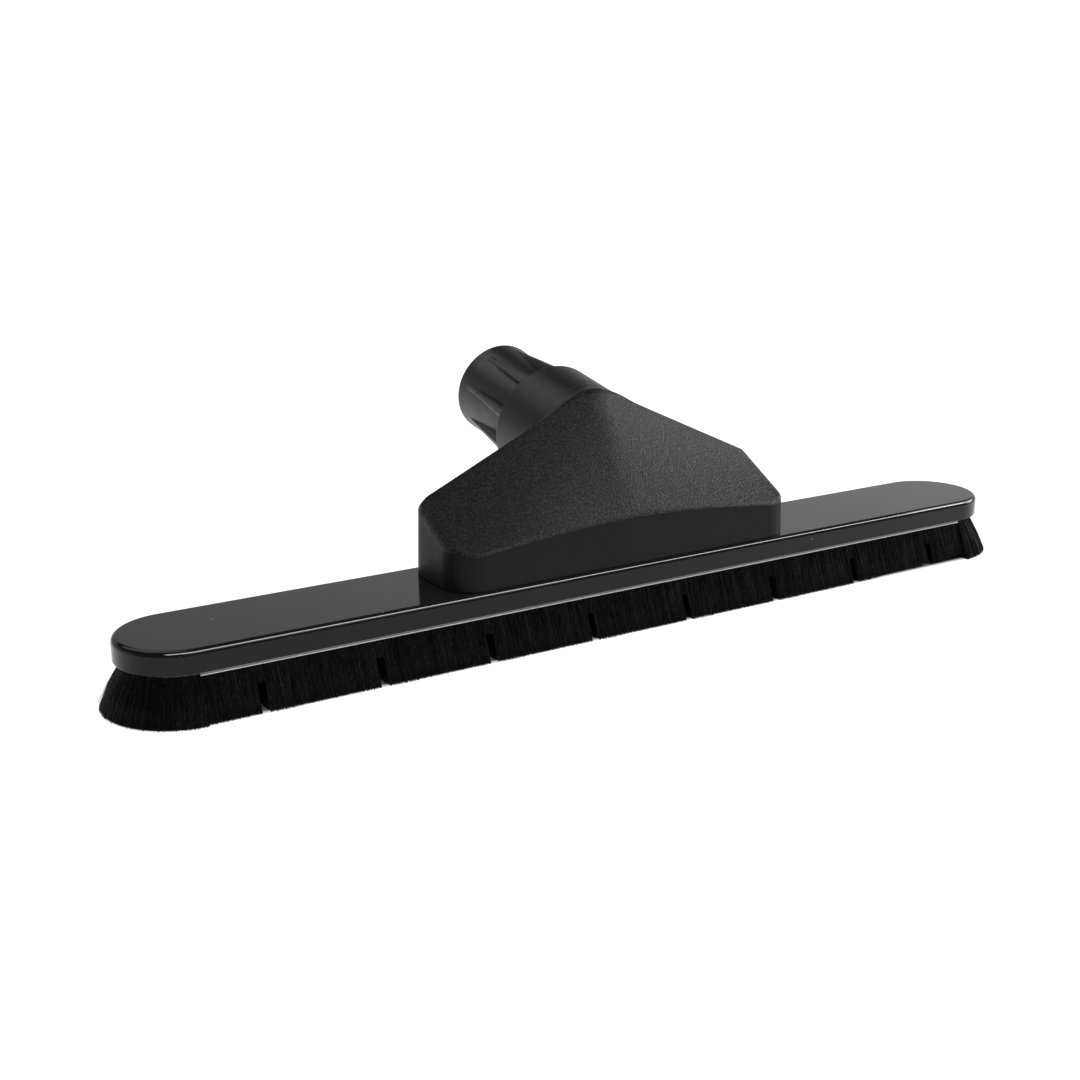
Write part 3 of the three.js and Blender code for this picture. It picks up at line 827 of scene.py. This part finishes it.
def hair_points(side, seed):
    """Rings of three points for each filament of one strip: held upright in the channel, splayed below."""
    chance = np.random.default_rng(seed)
    run = strip_run(side)
    per_row = int(run * HAIRS_PER_MM)
    row = np.repeat(np.arange(HAIR_ROWS), per_row)
    share = row / (HAIR_ROWS - 1)
    along = (np.tile(np.arange(per_row), HAIR_ROWS) + chance.uniform(-0.5, 0.5, len(row))) / per_row
    along = np.clip(along, 0.0005, 0.9995)
    root = ROOT_OUTER - share * (ROOT_OUTER - ROOT_INNER) - np.abs(chance.normal(0, 0.1, len(row)))
    splay = tip_splay(side) - share * TIP_SPREAD - np.abs(chance.normal(0, 0.15, len(row)))
    tip_up = np.abs(chance.normal(0, 0.07, len(row))) + trim(side, along)
    # filaments lean together in small clumps
    clumps = max(int(run / HAIR_CLUMP), 2)
    home = np.floor(along * clumps + 0.25 * np.sin(row * 2.1))
    clump_lean = chance.normal(0, 0.16, clumps + 3)[home.astype(int) + 1]
    lean = clump_lean + chance.normal(0, 0.16, len(row))
    # a few strays stand out from the rest
    stray = chance.uniform(0, 1, len(row)) < STRAY_SHARE * (row == 0)
    splay = splay + stray * chance.uniform(0.4, 1.6, len(row))
    lean = lean + stray * chance.normal(0, 1.2, len(row))
    tip_along = along + lean / run
    if side == "front":
        x = (1 - along * 2) * (STRAIGHT_HALF - GAP)
        tip_x = (1 - tip_along * 2) * (STRAIGHT_HALF - GAP)
        nearest = notch_places()[np.argmin(np.abs(x[:, None] - notch_places()), axis=1)]
        cut = np.abs(x - nearest) < NOTCH_WIDTH / 2
        tip_up = np.where(cut, NOTCH_HEIGHT + chance.normal(0, 0.15, len(row)), tip_up)
        side_of = np.sign(x - nearest)
        kept = nearest + side_of * np.maximum(side_of * (tip_x - nearest), NOTCH_WIDTH / 2 + 0.05)
        tip_x = np.where(cut, tip_x, kept)
        # the lobe to the right of each notch hangs a little forward
        past = x - nearest - NOTCH_WIDTH / 2
        in_lobe = (past > 0) & (past < LOBE_LENGTH)
        splay = splay + np.where(in_lobe, 0.5 * np.sin(np.pi * past / LOBE_LENGTH), 0)
        tip_along = (1 - tip_x / (STRAIGHT_HALF - GAP)) / 2
    turns = chance.uniform(0, 2 * math.pi, len(row))
    rings = []
    for level, thick in ((HAIR_TOP, 1.0), (HAIR_BEND, 1.0), (HAIR_BEND / 2, 1.0), (0, 0.85)):
        height = np.maximum(level, tip_up)
        fall = np.maximum(HAIR_BEND - height, 0) / HAIR_BEND
        out = root + (splay - root) * fall ** (1 if side in ("front", "rear") else 0.85)
        centre = along_side(side, along + (tip_along - along) * fall, out, height)
        for k in range(3):
            angle = turns + k * 2 * math.pi / 3
            offset = np.stack([np.cos(angle), np.sin(angle), 0 * angle], axis=-1)
            rings.append(centre + offset * HAIR_RADIUS * thick)
    return np.stack(rings, axis=1)


def core_section(side, low):
    """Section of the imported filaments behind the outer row, down to a height."""
    fall = (HAIR_BEND - low) / HAIR_BEND
    outer = ROOT_OUTER + (tip_splay(side) - ROOT_OUTER) * fall - CORE_INSET
    inner = ROOT_INNER + (tip_splay(side) - TIP_SPREAD - ROOT_INNER) * fall + CORE_INSET
    return [(ROOT_OUTER - 0.2, UNDERSIDE + 1), (ROOT_INNER + 0.2, UNDERSIDE + 1),
            (ROOT_INNER + 0.2, HAIR_BEND), (inner, low), (outer, low), (ROOT_OUTER - 0.2, HAIR_BEND)]


def core_stations(side):
    """(share of the run, lowest height) pairs; the front strip's core steps up over each notch."""
    def low_at(share):
        return CORE_LOW + float(trim(side, share))

    if side != "front":
        return [(share, low_at(share)) for share in np.linspace(0, 1, 2 if side == "rear" else 33)]
    length = 2 * (STRAIGHT_HALF - GAP)
    stations = [(0, low_at(0))]
    for x in notch_places()[::-1]:
        low, high = (0.5 - (x + s * NOTCH_WIDTH / 2) / length for s in (1, -1))
        step = 0.05 / length
        stations += [(low - step, low_at(low - step)), (low, NOTCH_HEIGHT + NOTCH_CORE_LIFT),
                     (high, NOTCH_HEIGHT + NOTCH_CORE_LIFT), (high + step, low_at(high + step))]
    return stations + [(1, low_at(1))]


def build_core(side):
    rings = []
    stations = core_stations(side)
    for share, low in stations:
        section = core_section(side, low)
        out = np.array([p[0] for p in section])
        up = np.array([p[1] for p in section])
        rings.append(along_side(side, np.full(len(out), share), out, up))
    count = len(rings[0])
    faces = ring_faces(len(rings), count) + end_caps(len(rings), count)
    new_piece(f"{side}_filament_core", np.concatenate(rings), faces, "head", [FILAMENT])


def build_bristles(side, seed):
    build_core(side)
    hairs = hair_points(side, seed)
    size = hairs.shape[1]
    first = np.arange(len(hairs))[:, None] * size
    quads = []
    for ring in range(size // 3 - 1):
        for k in range(3):
            a, b = ring * 3 + k, ring * 3 + (k + 1) % 3
            quads.append(np.hstack([first + a, first + b, first + b + 3, first + a + 3]))
    tips = np.hstack([first + size - 3, first + size - 2, first + size - 1]).tolist()
    faces = np.concatenate(quads).tolist() + tips
    mesh = bpy.data.meshes.new(f"{side}_filaments")
    mesh.from_pydata(place(hairs).reshape(-1, 3).tolist(), [], faces)
    mesh.polygons.foreach_set("use_smooth", [True] * len(mesh.polygons))
    mesh.materials.append(FILAMENT)
    piece = add_object(f"{side}_filaments", mesh)
    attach(piece, "head")
    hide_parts(f"{side}_bristles")


# Carried-over CAD nodes
def finish_node(node, made):
    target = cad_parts[node]
    target.data.materials.clear()
    target.data.materials.append(made)
    soften(target.data, 40)


# Stage
def emitter(name, direction, distance, size, power, level=False):
    """A soft box aimed at the middle of the head, or across it with its long side level along X."""
    data = bpy.data.lights.new(name, "AREA")
    data.shape = "RECTANGLE"
    data.size, data.size_y = size
    data.energy = power
    light = add_object(name, data)
    away = Vector(direction).normalized()
    light.location = Vector((0, PLATE_MIDDLE.y, TOP * MM)) + distance * away
    facing = Vector((0, away.y, away.z)).normalized() if level else away
    along = (Vector((1, 0, 0)) - facing * facing.x).normalized()
    light.rotation_euler = Matrix((along, facing.cross(along), facing)).transposed().to_euler()
    return light


def build_camera():
    data = bpy.data.cameras.new("camera")
    data.sensor_width = 36
    data.lens = 51.2
    camera = add_object("camera", data)
    azimuth, elevation, distance = math.radians(-32.06), math.radians(16.35), 0.6708
    back = Vector((math.sin(azimuth) * math.cos(elevation), -math.cos(azimuth) * math.cos(elevation),
                   math.sin(elevation)))
    target = Vector((-0.0354, PLATE_MIDDLE.y, TOP * MM + 0.0105))
    camera.location = target + back * distance
    camera.rotation_euler = back.to_track_quat("Z", "Y").to_euler()
    data.clip_start = 0.01
    bpy.context.scene.camera = camera


def build_lights():
    fill = emitter("fill", (0, 0, 1), 2.2, (4, 4), 25)
    fill.visible_glossy = False
    emitter("right_key", (0.9, -0.14, 0.4), 1.2, (0.6, 0.5), 10)
    emitter("front_soft", (0.15, -0.66, 0.72), 1.8, (1.4, 0.7), 14)
    emitter("rear_soft", (-0.2, 0.55, 0.8), 1.6, (1, 1), 4.5)


def build_edge_light(plate):
    """A long strip that draws the thin highlight along the plate's front edge, and lights nothing else."""
    strip = emitter("edge_strip", (0.33, -0.45, 0.83), 1.36, (2.6, 0.3), 86, level=True)
    only = bpy.data.collections.new("edge_strip_receivers")
    only.objects.link(plate)
    strip.light_linking.receiver_collection = only


FLOOR_REACH = 4.5  # metres, like the two below
GLOW_START = 0.0265  # distance from the plate's long axis
GLOW_FULL = 0.0305


def floor_paper():
    """Pale paper that glows outside the head's outline, so that no shadow greys it there."""
    paper = look("floor", (0.3, 0.3, 0.3), 0.9)
    shader = paper.node_tree.nodes["Principled BSDF"]
    shader.inputs["Emission Color"].default_value = (1, 1, 1, 1)
    where = add(paper, "ShaderNodeTexCoord")
    apart = add(paper, "ShaderNodeSeparateXYZ")
    wire(paper, where, "Object", apart, "Vector")
    reach_x = add(paper, "ShaderNodeMath", operation="ABSOLUTE")
    wire(paper, apart, "X", reach_x, 0)
    past_x = add(paper, "ShaderNodeMath", operation="SUBTRACT")
    wire(paper, reach_x, "Value", past_x, 0)
    past_x.inputs[1].default_value = STRAIGHT_HALF * MM
    end_x = add(paper, "ShaderNodeMath", operation="MAXIMUM")
    wire(paper, past_x, "Value", end_x, 0)
    end_x.inputs[1].default_value = 0
    past_y = add(paper, "ShaderNodeMath", operation="SUBTRACT")
    wire(paper, apart, "Y", past_y, 0)
    past_y.inputs[1].default_value = PLATE_MIDDLE.y
    outline = add(paper, "ShaderNodeCombineXYZ")
    wire(paper, end_x, "Value", outline, "X")
    wire(paper, past_y, "Value", outline, "Y")
    away = add(paper, "ShaderNodeVectorMath", operation="LENGTH")
    wire(paper, outline, "Vector", away, 0)
    glow = add(paper, "ShaderNodeMapRange")
    glow.inputs["From Min"].default_value = GLOW_START
    glow.inputs["From Max"].default_value = GLOW_FULL
    glow.inputs["To Max"].default_value = 1.0
    wire(paper, away, "Value", glow, "Value")
    wire(paper, glow, "Result", shader, "Emission Strength")
    # from below it is clear, so that the head's underside can be looked at
    side = add(paper, "ShaderNodeNewGeometry")
    clear = add(paper, "ShaderNodeBsdfTransparent")
    choose = add(paper, "ShaderNodeMixShader")
    wire(paper, side, "Backfacing", choose, "Fac")
    wire(paper, shader, "BSDF", choose, 1)
    wire(paper, clear, "BSDF", choose, 2)
    wire(paper, choose, "Shader", paper.node_tree.nodes["Material Output"], "Surface")
    return paper


def build_floor():
    mesh = bpy.data.meshes.new("floor")
    r = FLOOR_REACH
    corners = [(-r, -r, 0), (r, -r, 0), (r, r, 0), (-r, r, 0)]
    mesh.from_pydata(corners, [], [(0, 1, 2, 3)])
    floor = add_object("floor", mesh)
    mesh.materials.append(floor_paper())


def build_world():
    """Bright low band behind the object, darker above it. The camera itself sees plain white."""
    world = bpy.data.worlds.new("studio")
    world.use_nodes = True
    bpy.context.scene.world = world
    nodes, links = world.node_tree.nodes, world.node_tree.links
    where = nodes.new("ShaderNodeTexCoord")
    apart = nodes.new("ShaderNodeSeparateXYZ")
    ramp = nodes.new("ShaderNodeValToRGB")
    links.new(where.outputs["Generated"], apart.inputs["Vector"])
    links.new(apart.outputs["Z"], ramp.inputs["Fac"])
    stops = [(0.0, 1.0), (0.05, 1.0), (0.14, 0.66), (0.40, 0.66), (0.47, 0.03), (1.0, 0.03)]
    set_stops(ramp, stops)
    # the side behind the camera is darker
    behind = nodes.new("ShaderNodeMapRange")
    behind.inputs["From Min"].default_value = -0.2
    behind.inputs["From Max"].default_value = 0.25
    behind.inputs["To Min"].default_value = 0.15
    links.new(apart.outputs["Y"], behind.inputs["Value"])
    # the right is brighter than the left
    across = nodes.new("ShaderNodeMapRange")
    across.inputs["From Min"].default_value = 0.26
    across.inputs["From Max"].default_value = 0.7
    across.inputs["To Min"].default_value = 0.74
    across.inputs["To Max"].default_value = 1.16
    links.new(apart.outputs["X"], across.inputs["Value"])
    both = nodes.new("ShaderNodeMath")
    both.operation = "MULTIPLY"
    links.new(behind.outputs["Result"], both.inputs[0])
    links.new(across.outputs["Result"], both.inputs[1])
    links.new(ramp.outputs["Color"], nodes["Background"].inputs["Color"])
    links.new(both.outputs["Value"], nodes["Background"].inputs["Strength"])
    # the backdrop itself is plain white paper
    paper = nodes.new("ShaderNodeBackground")
    paper.inputs["Color"].default_value = (1, 1, 1, 1)
    paper.inputs["Strength"].default_value = 1.1
    seen = nodes.new("ShaderNodeLightPath")
    choose = nodes.new("ShaderNodeMixShader")
    links.new(seen.outputs["Is Camera Ray"], choose.inputs["Fac"])
    links.new(nodes["Background"].outputs["Background"], choose.inputs[1])
    links.new(paper.outputs["Background"], choose.inputs[2])
    links.new(choose.outputs["Shader"], nodes["World Output"].inputs["Surface"])


build_camera()
build_floor()
build_world()
build_lights()

build_plate()
build_hood()
build_cuff()
for index, name in enumerate(("front", "rear", "left", "right")):
    build_channel(name)
    build_bristles(name, 11 + index)
    finish_node(f"{name}_wire", ZINC)
finish_node("hood_gasket", RUBBER)
finish_node("cuff_seal_ring", RUBBER)
finish_node("cuff_retaining_ring", ZINC)
for index in range(1, 7):
    finish_node(f"hood_screw_{index}", ZINC)

bpy.context.scene.view_settings.view_transform = "Standard"
